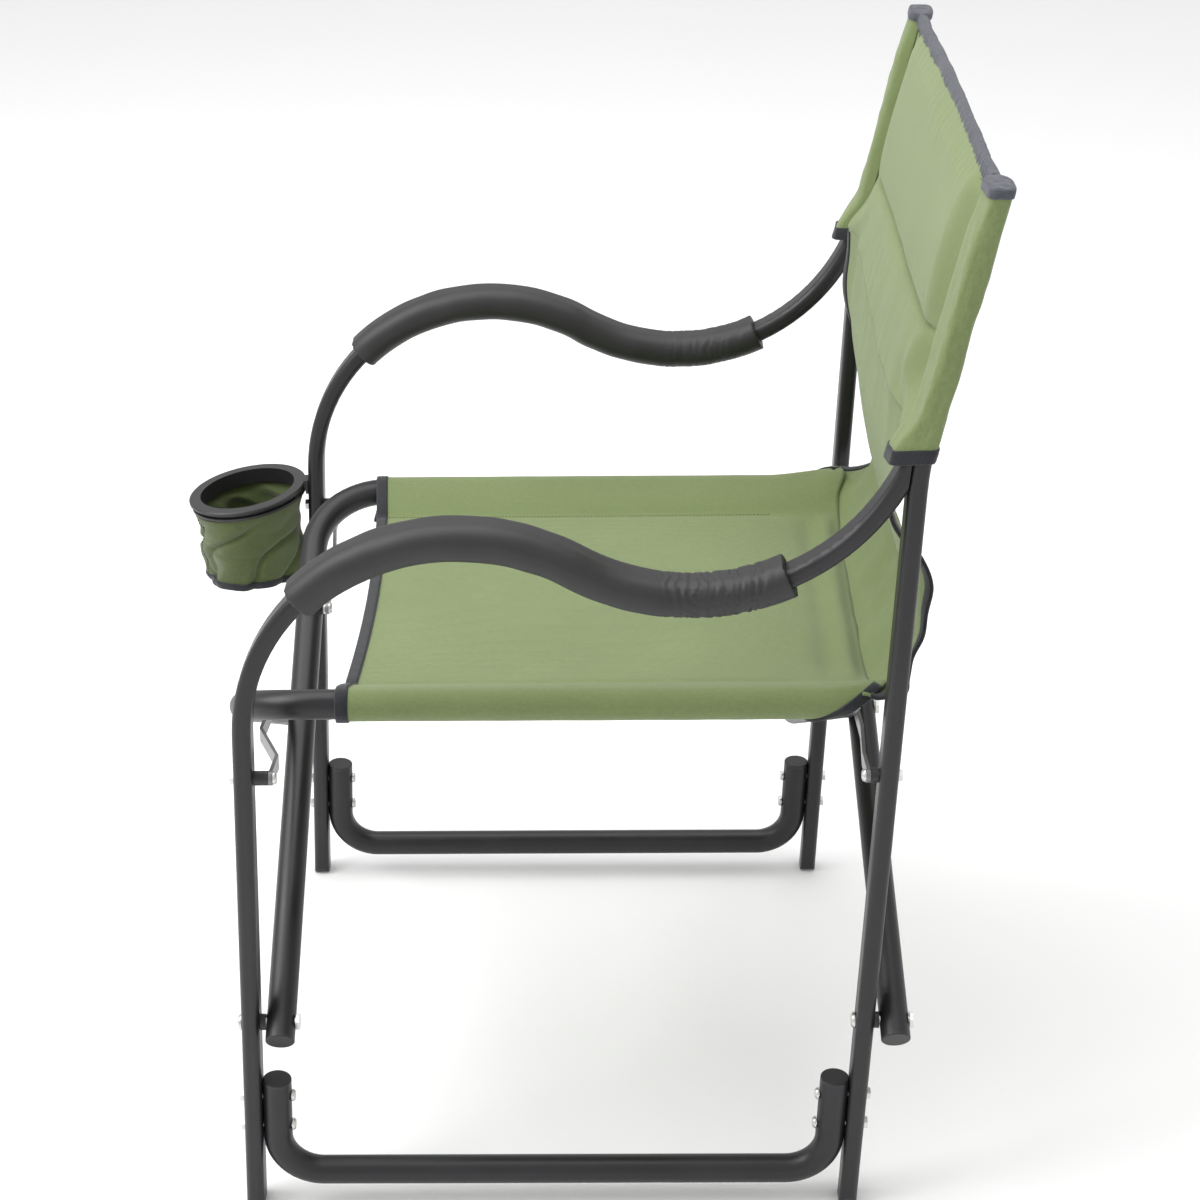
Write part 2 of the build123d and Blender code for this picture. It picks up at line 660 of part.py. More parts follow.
# ---- assembly -----------------------------------------------------------------------
for name, side in (("left", 1), ("right", -1)):
    x = side * HALF_WIDTH
    parts[f"{name}_front_leg_arm"] = front_leg_and_arm(x)
    parts[f"{name}_rear_leg_post"] = rear_leg_and_post(x)
    parts[f"{name}_ground_rail"] = ground_rail(x)
    parts[f"{name}_ground_rail_caps"] = ground_rail_caps(x)
    parts[f"{name}_ground_rail_bolts"] = ground_rail_bolts(x)
    parts[f"{name}_arm_foam"] = arm_foam(x)
    parts[f"{name}_post_cap"] = post_cap(x)
    corners = SCISSOR_A if side > 0 else SCISSOR_B
    bolts, spacers = low_pivots(side, corners)
    parts[f"{name}_low_pivot_bolts"] = bolts
    parts[f"{name}_low_pivot_spacers"] = spacers
    bolts, spacers = link_leg_pivots(side)
    parts[f"{name}_link_bolts"] = bolts
    parts[f"{name}_link_spacers"] = spacers
    for end, rear in (("front", False), ("rear", True)):
        parts[f"{name}_{end}_link"] = link_bar(side, rear)
        parts[f"{name}_{end}_link_stud"] = link_stud(side, rear)
    parts[f"{name}_seat_half"] = seat_half(side)
    parts[f"{name}_back_sleeve"] = back_sleeve(side)
    parts[f"{name}_back_half"] = back_half(side)
    parts[f"{name}_back_pad"] = back_pad(side)
    parts[f"{name}_back_tail"] = back_tail(side)

parts["scissor_a_tube"] = scissor_tube(SCISSOR_A, 1)
parts["scissor_a_caps"] = scissor_caps(SCISSOR_A)
parts["scissor_b_tube"] = scissor_tube(SCISSOR_B, -1)
parts["scissor_b_caps"] = scissor_caps(SCISSOR_B)
parts["centre_pivot_bolts"], parts["centre_pivot_spacers"] = centre_pivots()
parts["cup_ring"] = cup_ring()
parts["cup_bag"] = cup_bag()
parts["cup_clip"] = cup_clip()

box = Compound(children=[Compound(p.solids()) for p in parts.values()]).bounding_box()
origin_shift = Vector(-(box.min.X + box.max.X) / 2, -(box.min.Y + box.max.Y) / 2, 0)
print("origin shift", origin_shift, "size", box.size)

os.makedirs("parts", exist_ok=True)
for name, part in parts.items():
    export_step(Compound(part.solids()).moved(Location(origin_shift)), f"parts/{name}.step")
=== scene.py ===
"""Looks of the folding camp armchair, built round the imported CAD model.

Lengths are metres in the row frame: +Z up, -Y to the front, +X to the sitter's left.
Places are given in the chair's own middle-plane frame, and at() moves them by MID_X and
SHIFT_Y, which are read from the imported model. The near side in the photo is the left.
"""

import json
import math

import bpy
from mathutils import Matrix, Vector, noise


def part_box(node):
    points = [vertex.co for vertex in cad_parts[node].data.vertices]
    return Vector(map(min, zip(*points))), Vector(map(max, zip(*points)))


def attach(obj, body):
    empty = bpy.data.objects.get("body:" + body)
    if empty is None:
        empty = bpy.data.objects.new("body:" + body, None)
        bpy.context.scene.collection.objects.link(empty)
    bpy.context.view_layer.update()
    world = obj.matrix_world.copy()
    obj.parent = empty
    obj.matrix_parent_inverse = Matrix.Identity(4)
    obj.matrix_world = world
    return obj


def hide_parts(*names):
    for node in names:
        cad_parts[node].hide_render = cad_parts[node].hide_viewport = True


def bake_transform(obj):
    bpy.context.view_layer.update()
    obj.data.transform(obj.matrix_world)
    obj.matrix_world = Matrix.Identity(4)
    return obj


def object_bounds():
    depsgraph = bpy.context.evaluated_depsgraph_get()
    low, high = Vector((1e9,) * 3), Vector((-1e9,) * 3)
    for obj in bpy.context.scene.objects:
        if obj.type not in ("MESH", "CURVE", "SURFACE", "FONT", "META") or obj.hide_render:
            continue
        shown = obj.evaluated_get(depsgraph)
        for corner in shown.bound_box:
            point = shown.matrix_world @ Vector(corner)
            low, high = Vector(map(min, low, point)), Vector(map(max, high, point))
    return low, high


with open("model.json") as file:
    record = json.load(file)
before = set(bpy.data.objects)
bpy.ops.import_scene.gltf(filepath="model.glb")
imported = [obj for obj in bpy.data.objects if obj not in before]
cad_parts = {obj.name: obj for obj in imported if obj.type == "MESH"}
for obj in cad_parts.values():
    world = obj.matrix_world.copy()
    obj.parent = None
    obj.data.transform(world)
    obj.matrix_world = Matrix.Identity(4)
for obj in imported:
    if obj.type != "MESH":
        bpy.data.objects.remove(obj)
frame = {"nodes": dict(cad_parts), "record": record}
CAD_LOW, CAD_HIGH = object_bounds()

# ---- places from the frame -----------------------------------------------------------


def middle(node):
    """Middle of a node's box."""
    low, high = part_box(node)
    return (low + high) / 2


# the middle plane lies halfway between the two rear legs
MID_X = (middle("left_rear_leg_post").x + middle("right_rear_leg_post").x) / 2
# the CAD seat starts this far in front of the chair's own origin
CAD_SEAT_REACH = 0.166
SHIFT_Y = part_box("left_seat_half")[0].y + CAD_SEAT_REACH
RAIL_X = 0.215                      # middle line of the left seat rail
RAIL_Z = 0.46777
POST_X = middle("left_rear_leg_post").x - MID_X
POST_TOP_Y = 0.3385                 # middle line of a back post at POST_TOP_Z
POST_TOP_Z = 0.915
POST_SLOPE = 0.2302                 # its Y per Z


def at(x, y, z):
    """A point of the chair's middle-plane frame, in the row frame."""
    return Vector((x + MID_X, y + SHIFT_Y, z))


# ---- camera --------------------------------------------------------------------------
YAW = math.radians(-0.79381)
PITCH = math.radians(26.42046)
ROLL = math.radians(-0.67855)
EYE = (2.018892, 0.072052, 1.458533)
SENSOR = 36.0                       # mm
LENS = 75.15495                     # mm
CLIP_END = 50


def make_camera():
    """The photo's camera: near the left side, looking to the right and down."""
    data = bpy.data.cameras.new("camera")
    data.sensor_width = SENSOR
    data.lens = LENS
    data.clip_end = CLIP_END
    camera = bpy.data.objects.new("camera", data)
    look = Vector((-math.cos(YAW) * math.cos(PITCH), math.sin(YAW) * math.cos(PITCH), -math.sin(PITCH)))
    right = Vector((math.sin(YAW), math.cos(YAW), 0))
    up = right.cross(look)
    rolled_right = math.cos(ROLL) * right + math.sin(ROLL) * up
    rolled_up = -math.sin(ROLL) * right + math.cos(ROLL) * up
    turn = Matrix((rolled_right, rolled_up, -look)).transposed()
    camera.matrix_world = Matrix.Translation(at(*EYE)) @ turn.to_4x4()
    bpy.context.scene.collection.objects.link(camera)
    bpy.context.scene.camera = camera


make_camera()


# ---- material helpers ----------------------------------------------------------------
class Nodes:
    """A small wrapper that makes nodes and links of one material."""

    def __init__(self, name):
        self.material = bpy.data.materials.new(name)
        self.material.use_nodes = True
        self.tree = self.material.node_tree
        self.tree.nodes.clear()
        self.shader = self.tree.nodes.new("ShaderNodeBsdfPrincipled")
        self.out = self.tree.nodes.new("ShaderNodeOutputMaterial")
        self.link(self.shader.outputs["BSDF"], self.out.inputs["Surface"])

    def link(self, a, b):
        self.tree.links.new(a, b)

    def new(self, kind, **settings):
        node = self.tree.nodes.new(kind)
        for key, value in settings.items():
            setattr(node, key, value)
        return node

    def coordinates(self, scale=(1, 1, 1)):
        """The object's own coordinates, in metres, times scale."""
        texture = self.new("ShaderNodeTexCoord")
        mapping = self.new("ShaderNodeMapping")
        mapping.inputs["Scale"].default_value = scale
        self.link(texture.outputs["Object"], mapping.inputs["Vector"])
        return mapping.outputs["Vector"]

    def noise(self, scale, detail=4.0, stretch=(1, 1, 1), roughness=0.5):
        node = self.new("ShaderNodeTexNoise")
        node.inputs["Scale"].default_value = scale
        node.inputs["Detail"].default_value = detail
        node.inputs["Roughness"].default_value = roughness
        self.link(self.coordinates(stretch), node.inputs["Vector"])
        return node.outputs["Fac"]

    def ramp(self, source, low, high, start=0.0, end=1.0):
        """source from start to end becomes low to high."""
        node = self.new("ShaderNodeMapRange")
        node.inputs["From Min"].default_value = start
        node.inputs["From Max"].default_value = end
        node.inputs["To Min"].default_value = low
        node.inputs["To Max"].default_value = high
        self.link(source, node.inputs["Value"])
        return node.outputs["Result"]

    def math(self, kind, a, b):
        node = self.new("ShaderNodeMath", operation=kind)
        for socket, value in ((node.inputs[0], a), (node.inputs[1], b)):
            if isinstance(value, (int, float)):
                socket.default_value = value
            else:
                self.link(value, socket)
        return node.outputs[0]

    def mix_color(self, factor, a, b):
        node = self.new("ShaderNodeMix", data_type="RGBA")
        for socket, value in ((node.inputs[0], factor), (node.inputs[6], a), (node.inputs[7], b)):
            if isinstance(value, (int, float)):
                socket.default_value = value
            elif isinstance(value, (tuple, list)):
                socket.default_value = (*value, 1)
            else:
                self.link(value, socket)
        return node.outputs[2]

    def bump(self, height, distance, strength):
        node = self.new("ShaderNodeBump")
        node.inputs["Strength"].default_value = strength
        node.inputs["Distance"].default_value = distance
        self.link(height, node.inputs["Height"])
        self.link(node.outputs["Normal"], self.shader.inputs["Normal"])

    def set(self, **values):
        for key, value in values.items():
            socket = self.shader.inputs[key.replace("_", " ")]
            if isinstance(value, tuple) and len(value) == 3:
                socket.default_value = (*value, 1)
            elif isinstance(value, (int, float)):
                socket.default_value = value
            else:
                self.link(value, socket)


def powder_coat():
    """Charcoal powder coat: fine orange-peel texture and faint wear."""
    m = Nodes("powder_coat")
    broad = m.noise(14, 3)
    grain = m.noise(1400, 2)
    patches = m.ramp(broad, 0, 1, 0.35, 0.65)
    color = m.mix_color(patches, (0.0105, 0.0100, 0.0118), (0.0155, 0.0148, 0.0172))
    m.set(Base_Color=color, Metallic=0.0, Roughness=m.ramp(broad, 0.34, 0.44, 0.3, 0.7))
    m.shader.inputs["Specular IOR Level"].default_value = 0.44
    m.bump(grain, 0.00012, 0.35)
    return m.material


def black_plastic():
    """Moulded nylon of the caps, spacers and cup ring."""
    m = Nodes("black_plastic")
    grain = m.noise(900, 3)
    broad = m.noise(25, 3)
    color = m.mix_color(broad, (0.011, 0.011, 0.012), (0.020, 0.020, 0.022))
    m.set(Base_Color=color, Roughness=m.ramp(broad, 0.34, 0.50))
    m.bump(grain, 0.0001, 0.4)
    return m.material


def zinc_steel():
    """Zinc-plated bolts and studs."""
    m = Nodes("zinc_steel")
    broad = m.noise(160, 4)
    color = m.mix_color(broad, (0.50, 0.49, 0.48), (0.74, 0.73, 0.72))
    m.set(Base_Color=color, Metallic=1.0, Roughness=m.ramp(broad, 0.22, 0.42))
    m.bump(m.noise(700, 2), 0.00008, 0.4)
    return m.material


def link_steel():
    """Dark flat link bars with a long grain."""
    m = Nodes("link_steel")
    broad = m.noise(60, 4, (1, 6, 1))
    color = m.mix_color(broad, (0.16, 0.16, 0.17), (0.27, 0.27, 0.28))
    m.set(Base_Color=color, Metallic=0.75, Roughness=m.ramp(broad, 0.32, 0.48))
    m.bump(m.noise(900, 2), 0.00008, 0.3)
    return m.material


def foam_rubber():
    """Closed-cell foam with a tight skin."""
    m = Nodes("foam_rubber")
    cells = m.noise(1100, 3)
    broad = m.noise(18, 3)
    patches = m.ramp(broad, 0, 1, 0.3, 0.7)
    color = m.mix_color(patches, (0.0105, 0.0102, 0.0115), (0.0170, 0.0165, 0.0185))
    m.set(Base_Color=color, Roughness=m.ramp(broad, 0.46, 0.58))
    m.shader.inputs["Specular IOR Level"].default_value = 0.55
    m.bump(cells, 0.00014, 0.5)
    return m.material


def cloth(name, light, dark, weave=700.0, height=0.00022):
    """Plain-woven polyester: crossed yarns by waves along X and the two other axes."""
    m = Nodes(name)
    waves = []
    for direction in ("X", "Y", "Z"):
        wave = m.new("ShaderNodeTexWave", wave_type="BANDS", bands_direction=direction)
        wave.inputs["Scale"].default_value = weave
        wave.inputs["Distortion"].default_value = 0.6
        wave.inputs["Detail"].default_value = 1.0
        m.link(m.coordinates(), wave.inputs["Vector"])
        waves.append(wave.outputs["Fac"])
    across, level, upright = waves
    level_weave = m.math("MULTIPLY", across, level)
    upright_weave = m.math("MULTIPLY", across, upright)
    weave_height = m.math("MAXIMUM", level_weave, upright_weave)
    slub = m.noise(260, 5, (1, 5, 5), 0.7)
    cross_slub = m.noise(240, 5, (5, 1, 1), 0.7)
    broad = m.noise(7, 3)
    shade = m.math("MULTIPLY", m.math("ADD", slub, cross_slub), 0.5)
    shade = m.ramp(shade, 0.0, 1.0, 0.36, 0.64)
    patches = m.ramp(broad, 0, 1, 0.3, 0.7)
    shade = m.math("ADD", m.math("MULTIPLY", shade, 0.7), m.math("MULTIPLY", patches, 0.3))
    m.set(Base_Color=m.mix_color(shade, dark, light), Roughness=0.82)
    m.shader.inputs["Sheen Weight"].default_value = 0.25
    m.shader.inputs["Sheen Roughness"].default_value = 0.5
    m.shader.inputs["Specular IOR Level"].default_value = 0.3
    m.bump(m.math("ADD", weave_height, m.math("MULTIPLY", slub, 0.8)), height, 0.55)
    return m.material


def thread(name, color):
    """Twisted sewing thread."""
    m = Nodes(name)
    twist = m.noise(2200, 2)
    m.set(Base_Color=m.mix_color(twist, tuple(0.8 * c for c in color), color), Roughness=0.7)
    m.bump(twist, 0.0001, 0.6)
    return m.material


GREEN = cloth("green_cloth", (0.205, 0.258, 0.108), (0.138, 0.180, 0.064))
CUP_GREEN = cloth("cup_green_cloth", (0.092, 0.118, 0.040), (0.056, 0.074, 0.022))
TAPE_YARN = {"weave": 520.0, "height": 0.0003}
TAPE = cloth("binding_tape", (0.022, 0.0235, 0.028), (0.010, 0.011, 0.014), **TAPE_YARN)
TAPE_TOP = cloth("gathered_tape", (0.088, 0.094, 0.115), (0.040, 0.043, 0.054), **TAPE_YARN)
THREAD = thread("green_thread", (0.060, 0.080, 0.026))
DARK_THREAD = thread("grey_thread", (0.045, 0.047, 0.055))
COAT = powder_coat()
PLASTIC = black_plastic()
ZINC = zinc_steel()
LINK = link_steel()
FOAM = foam_rubber()

# ---- CAD nodes that stay -------------------------------------------------------------
FINISH = {
    "frame_tube": COAT,
    "zinc_steel": ZINC,
    "link_steel": LINK,
    "black_plastic": PLASTIC,
    "foam": FOAM,
    "green_cloth": GREEN,
    "padding": GREEN,
}


def finish_cad_nodes():
    """Gives each CAD node the material of its slot."""
    for sub in frame["record"]["subparts"]:
        node = frame["nodes"][sub["node"]]
        node.data.materials.clear()
        node.data.materials.append(FINISH[sub["material_slot"]])


finish_cad_nodes()


# ---- floor and light -----------------------------------------------------------------
FLOOR_SIZE = 14


def make_floor():
    bpy.ops.mesh.primitive_plane_add(size=FLOOR_SIZE, location=(0, 0, CAD_LOW.z))
    floor = bpy.context.object
    floor.name = "floor"
    paper = Nodes("floor_paper")
    paper.set(Base_Color=(0.95, 0.95, 0.95), Roughness=0.9)
    floor.data.materials.append(paper.material)


def area_light(name, place, target, size, power):
    """A square soft light of power watts that looks at target."""
    data = bpy.data.lights.new(name, "AREA")
    data.shape = "SQUARE"
    data.size = size
    data.energy = power
    light = bpy.data.objects.new(name, data)
    light.location = place
    light.rotation_mode = "QUATERNION"
    light.rotation_quaternion = (Vector(target) - Vector(place)).to_track_quat("-Z", "Y")
    bpy.context.scene.collection.objects.link(light)


def make_light():
    world = bpy.data.worlds.new("studio")
    world.use_nodes = True
    background = world.node_tree.nodes["Background"]
    background.inputs["Color"].default_value = (1, 1, 1, 1)
    background.inputs["Strength"].default_value = 0.80
    bpy.context.scene.world = world
    bpy.context.scene.view_settings.view_transform = "Standard"
    target = (0, 0, 0.5)
    area_light("key", (0.5, -2.3, 2.6), target, 2.0, 66)
    area_light("fill", (2.8, 1.4, 1.9), target, 2.0, 2)
    area_light("top", (-0.4, -0.2, 3.2), target, 2.8, 54)


# ---- mesh helpers --------------------------------------------------------------------
CLOTH = 0.0011                      # thickness of the seat, tail and sleeve cloth
DOUBLE_CLOTH = 0.0012               # thickness of the cup bag and of the sleeves' closed tops


def make_piece(name, points, faces, material):
    mesh = bpy.data.meshes.new(name)
    mesh.from_pydata([tuple(p) for p in points], [], faces)
    mesh.materials.append(material)
    mesh.validate()
    piece = bpy.data.objects.new(name, mesh)
    bpy.context.scene.collection.objects.link(piece)
    for polygon in mesh.polygons:
        polygon.use_smooth = True
    return piece


def grid_faces(columns, rows, closed=False, start=0):
    """Quads of a grid stored column by column; closed joins the last column to the first."""
    faces = []
    for i in range(columns if closed else columns - 1):
        a = start + i * rows
        b = start + ((i + 1) % columns) * rows
        for j in range(rows - 1):
            faces.append((a + j, b + j, b + j + 1, a + j + 1))
    return faces


def apply_modifiers(piece):
    """Leaves the piece with its modifiers' result as a plain mesh."""
    graph = bpy.context.evaluated_depsgraph_get()
    mesh = bpy.data.meshes.new_from_object(piece.evaluated_get(graph))
    piece.modifiers.clear()
    piece.data = mesh


def thicken(piece, thickness, offset=0.0):
    """Gives an open surface thickness: half each way, or inwards only with offset -1."""
    solid = piece.modifiers.new("thickness", "SOLIDIFY")
    solid.thickness = thickness
    solid.offset = offset
    solid.use_rim = True
    apply_modifiers(piece)


def sheet_piece(name, grid):
    """A thin closed piece of green cloth from a grid of points given as a list of columns."""
    points = [p for column in grid for p in column]
    piece = make_piece(name, points, grid_faces(len(grid), len(grid[0])), GREEN)
    thicken(piece, CLOTH)
    return piece


def smooth_step(x, low, high):
    """0 up to low, 1 from high on, and a smooth rise between them."""
    t = min(1.0, max(0.0, (x - low) / (high - low)))
    return t * t * (3 - 2 * t)


def lerp(a, b, t):
    """a at t 0, b at t 1, in a straight line between them."""
    return a + (b - a) * t


def wobble(x, y, z=0.0):
    """Smooth noise from about -1 to 1."""
    return noise.noise(Vector((x, y, z)))


def spline(keys, x):
    """Smooth value at x through (x, value, ...) keys, by Catmull-Rom pieces."""
    if x <= keys[0][0]:
        return keys[0][1:]
    if x >= keys[-1][0]:
        return keys[-1][1:]
    i = max(k for k in range(len(keys) - 1) if keys[k][0] <= x)
    x0, x1 = keys[i][0], keys[i + 1][0]
    before, after = keys[max(i - 1, 0)], keys[min(i + 2, len(keys) - 1)]
    t = (x - x0) / (x1 - x0)
    values = []
    for c in range(1, len(keys[0])):
        p0, p1 = keys[i][c], keys[i + 1][c]
        m0 = (p1 - before[c]) / max(x1 - before[0], 1e-9) * (x1 - x0)
        m1 = (after[c] - p0) / max(after[0] - x0, 1e-9) * (x1 - x0)
        h = (2 * t**3 - 3 * t**2 + 1, t**3 - 2 * t**2 + t, -2 * t**3 + 3 * t**2, t**3 - t**2)
        values.append(h[0] * p0 + h[1] * m0 + h[2] * p1 + h[3] * m1)
    return tuple(values)


def tape_section(width, thick):
    """A folded tape's outline round a cloth edge: (inward, out of the cloth) pairs."""
    half = thick / 2
    face = (
        (-0.0006, 0.8 * half), (0.0006, half), (0.5 * width, 1.08 * half),
        (width - 0.0005, half), (width, 0.55 * half),
    )
    return ((-0.0009, 0.0), *face, *((a, -b) for a, b in reversed(face)))


def binding(name, edge, inner, material=TAPE, width=0.0085, thick=0.0030, gather=0.0, closed=False):
    """A folded tape round a cloth edge. edge and inner are matching points on and in from it."""
    section = tape_section(width, thick)
    points = []
    count = len(edge)
    for i in range(count):
        if closed:
            along = edge[(i + 1) % count] - edge[i - 1]
        else:
            along = edge[min(i + 1, count - 1)] - edge[max(i - 1, 0)]
        inward = (inner[i] - edge[i]).normalized()
        out = along.cross(inward).normalized()
        inward = out.cross(along).normalized()
        for a, b in section:
            ripple = wobble(i * 0.62 + a * 60, 3.7) + 0.5 * wobble(i * 0.21, 9.1)
            swell = 1.0 + gather * ripple
            shift = gather * 0.0022 * ripple
            points.append(edge[i] + inward * (a + shift) + out * (b * swell))
    rows = len(section)
    faces = grid_faces(count, rows, closed)
    for i in range(count if closed else count - 1):
        a, b = i * rows, ((i + 1) % count) * rows
        faces.append((a + rows - 1, b + rows - 1, b, a))
    if not closed:
        faces.append(tuple(range(rows)))
        faces.append(tuple(reversed(range((count - 1) * rows, count * rows))))
    return make_piece(name, points, faces, material)


def along_path(path, step):
    """Points and directions every step along a polyline."""
    places = []
    left = step / 2
    for a, b in zip(path, path[1:]):
        length = (b - a).length
        if length < 1e-9:
            continue
        way = (b - a) / length
        while left < length:
            places.append((a + way * left, way))
            left += step
        left -= length
    return places


STITCH_LENGTH = 0.0024
STITCH_STEP = 0.0034
THREAD_R = 0.00055
# rings along one stitch: (place along it, rise out of the cloth, radius), as shares
STITCH_RINGS = ((-0.5, 0.0, 0.35), (-0.3, 0.42, 0.9), (0.3, 0.42, 0.9), (0.5, 0.0, 0.35))
STITCH_SIDES = 5


def stitches(name, path, up, material=THREAD):
    """A row of thread stitches along a path; up is the way the cloth faces."""
    points, faces = [], []
    last_ring = (len(STITCH_RINGS) - 1) * STITCH_SIDES
    for place, way in along_path(path, STITCH_STEP):
        side = way.cross(up).normalized()
        top = side.cross(way).normalized()
        base = len(points)
        for along, rise, fat in STITCH_RINGS:
            centre = place + way * (along * STITCH_LENGTH) + top * (rise * THREAD_R)
            for k in range(STITCH_SIDES):
                angle = 2 * math.pi * k / STITCH_SIDES
                spoke = side * math.cos(angle) + top * math.sin(angle)
                points.append(centre + spoke * (THREAD_R * fat))
        for ring in range(base, base + last_ring, STITCH_SIDES):
            for k in range(STITCH_SIDES):
                a, b = ring + k, ring + (k + 1) % STITCH_SIDES
                faces.append((a, b, b + STITCH_SIDES, a + STITCH_SIDES))
        faces.append(tuple(base + k for k in reversed(range(STITCH_SIDES))))
        faces.append(tuple(base + last_ring + k for k in range(STITCH_SIDES)))
    return make_piece(name, points, faces, material)


def mount_on_halves(pieces, left, right):
    """Puts sewn pieces named for a side on that side's hinged half; the others are baked in place and
    put on neither.
    """
    for piece in pieces:
        if "left" in piece.name:
            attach(piece, left)
        elif "right" in piece.name:
            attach(piece, right)
        else:
            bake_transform(piece)


# ---- seat ----------------------------------------------------------------------------
LOOP_R = 0.0137                     # radius of the sleeve round the rail
LOOP_START = math.radians(260.6)    # where the lower layer of the sleeve meets the rail
LOOP_TURN = math.radians(189.4)     # round the rail to its top
LOOP_FLAT = 0.25                    # share of the sleeve's columns that lie in the lower layer
STITCH_X = 0.170                    # line where the sleeve is sewn to the sheet
STITCH_Z = 0.4617                   # top of the sheet at that line
SLOPE_X = 0.2091                    # where the upper layer meets the rail
SLOPE_Z = 0.4801
SEAT_CROSS = 84                     # columns from rail to rail
LOOP_STEPS = 26                     # columns of one rail's sleeve
SEAT_ROWS = 120
SEAT_FRONT_Y = -0.172               # front ends of the sleeves, on average
FRONT_SKEW = 0.002                  # the right sleeve's lead over that, and the left one's lag
FRONT_HOLLOW = 0.0065               # how far the front edge curves back in the middle
SLEEVE_REAR_Y = 0.280               # rear end of the cloth on top of the rails
VALLEY_Y = 0.272                    # where the sheet turns up into the tail
STITCH_END_Y = 0.205                # rear end of the sleeves' stitching
# rear end of the sleeve's columns, from its stitched line round to the rail's top
SLEEVE_REAR = ((0.0, 0.200), (0.3, 0.224), (0.55, 0.247), (0.8, 0.268), (1.0, SLEEVE_REAR_Y))


def seat_height(x, y):
    """Top of the sheet between the two stitched lines, level beyond them."""
    across = min(1.0, abs(x) / STITCH_X)
    dip = 0.0050 * (1 - across**2)
    rear = smooth_step(y, 0.13, 0.262)
    dip += 0.0045 * rear * (1 - across**4)
    ripple = 0.0011 * wobble(x * 9, y * 5, 0.3)
    pucker = rear * (1 - across**6) * 0.0022 * wobble(x * 20, y * 8, 4.2)
    # a roll of slack cloth lies across the seat just before it turns up
    drift = 0.006 * wobble(x * 8, 1.1, 0.6)
    share = (1 - across**6) * (0.75 + 0.7 * wobble(x * 10, 5.2, 0.9))
    roll = 0.0034 * math.exp(-((y - 0.256 - drift) / 0.0062) ** 2)
    roll -= 0.0036 * math.exp(-((y - 0.238 - drift) / 0.0085) ** 2)
    roll -= 0.0056 * smooth_step(y, 0.258, 0.271)
    pucker += roll * share
    groove = 0.0016 * math.exp(-((abs(x) - STITCH_X) / 0.0035) ** 2)
    groove *= 1 - smooth_step(y, 0.20, 0.24)
    return STITCH_Z - dip + ripple + pucker - groove


def seat_top(x, y):
    """Top of the cloth: the sheet, and the slope from its stitched lines up to the rails."""
    x = abs(x)
    if x <= STITCH_X:
        return seat_height(x, y)
    if x >= SLOPE_X:
        return RAIL_Z + math.sqrt(LOOP_R**2 - min(LOOP_R, abs(x - RAIL_X)) ** 2)
    up = (x - STITCH_X) / (SLOPE_X - STITCH_X)
    slack = 0.0013 * math.sin(math.pi * up) * (0.6 + wobble(x * 14, y * 16, 2.4))
    return lerp(seat_height(x, y), SLOPE_Z, up) + slack


def seat_column(k):
    """Section place of column k: ("loop", side, share of the loop) or ("sheet", x)."""
    if k < LOOP_STEPS:
        return ("loop", 1, k / LOOP_STEPS)
    if k > LOOP_STEPS + SEAT_CROSS:
        return ("loop", -1, (2 * LOOP_STEPS + SEAT_CROSS - k) / LOOP_STEPS)
    return ("sheet", lerp(RAIL_X, -RAIL_X, (k - LOOP_STEPS) / SEAT_CROSS), 0)


def seat_front(side):
    """Front edge, a little further forward on the right rail (side -1) than on the left (1)."""
    return SEAT_FRONT_Y + FRONT_SKEW * side


def seat_span(k):
    """Front and rear Y of column k."""
    kind, a, share = seat_column(k)
    if kind == "loop":
        return seat_front(a), spline(SLEEVE_REAR, share)[0]
    hollow = FRONT_HOLLOW * (1 - (a / RAIL_X) ** 2)
    rear = lerp(VALLEY_Y, SLEEVE_REAR_Y, smooth_step(abs(a), 0.185, RAIL_X))
    return seat_front(a / RAIL_X) + hollow, rear


def seat_point(k, t):
    """Point of column k at share t of the way from the front edge to the rear one."""
    kind, a, share = seat_column(k)
    front, rear = seat_span(k)
    y = lerp(front, rear, t)
    if kind == "sheet":
        lift = 0.004 * smooth_step(y, 0.235, VALLEY_Y) * smooth_step(abs(a), STITCH_X, RAIL_X)
        return at(a, y, seat_top(a, y) + lift)
    angle = LOOP_START + LOOP_TURN * max(0.0, share - LOOP_FLAT) / (1 - LOOP_FLAT)
    # behind its stitching the sleeve opens out
    open_out = smooth_step(y, STITCH_END_Y, SLEEVE_REAR_Y)
    r = LOOP_R * (1 + 0.10 * open_out)
    x = RAIL_X + r * math.cos(angle)
    z = RAIL_Z + r * math.sin(angle) + 0.004 * open_out * share + 0.006 * open_out * (1 - share)
    x += 0.004 * open_out
    x += 0.0006 * wobble(y * 30, share * 3, a)
    if share < LOOP_FLAT:
        x = lerp(STITCH_X + 0.001, x, share / LOOP_FLAT)
        z = lerp(seat_height(STITCH_X, y) - 0.0022, z, share / LOOP_FLAT)
    return at(a * x, y, z)


